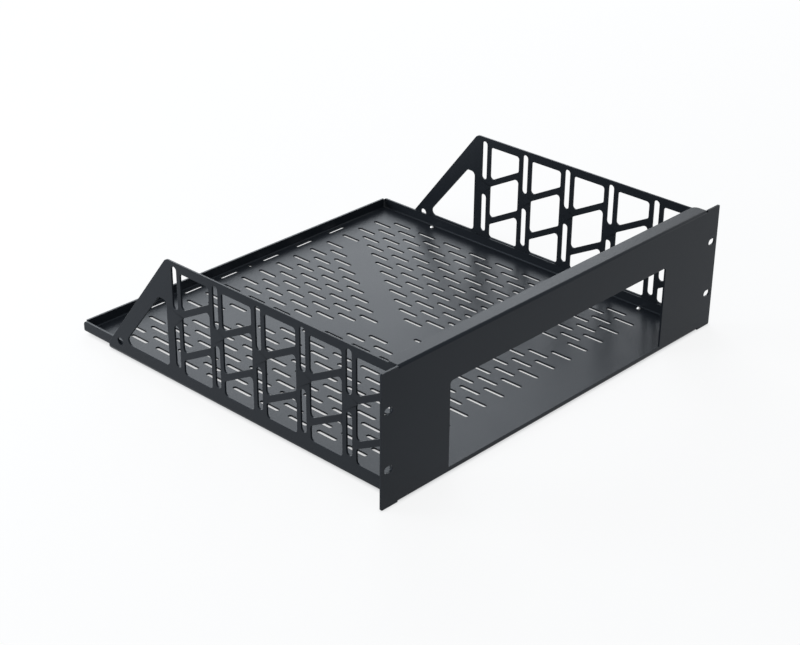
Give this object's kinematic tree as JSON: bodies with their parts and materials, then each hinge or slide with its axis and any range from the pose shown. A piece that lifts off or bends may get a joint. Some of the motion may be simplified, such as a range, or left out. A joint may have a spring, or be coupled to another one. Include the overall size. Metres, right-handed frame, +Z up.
{
  "type": "cantilever rack shelf",
  "caption": "Front-mounted cantilever shelf for an equipment rack: windowed panel with slotted ears, vented tray and truss-pierced side brackets.",
  "frame": {"origin": "centre of the footprint, on the surface that the shelf stands on: halfway across the panel and halfway from the panel's front face to the tray's rear face", "axes": "+Z up, the front panel faces -Y, +X to the right seen from the front, along the panel's width"},
  "size_m": [0.4826, 0.4382, 0.1326],
  "materials": {
    "black_powder_coat": "satin black powder coat with a fine texture",
    "rivet_metal": "bare bright metal"
  },
  "bodies": {
    "root": {"front_panel": "black_powder_coat", "tray": "black_powder_coat", "left_bracket": "black_powder_coat", "right_bracket": "black_powder_coat", "rivets": "rivet_metal"}
  },
  "joints": []
}
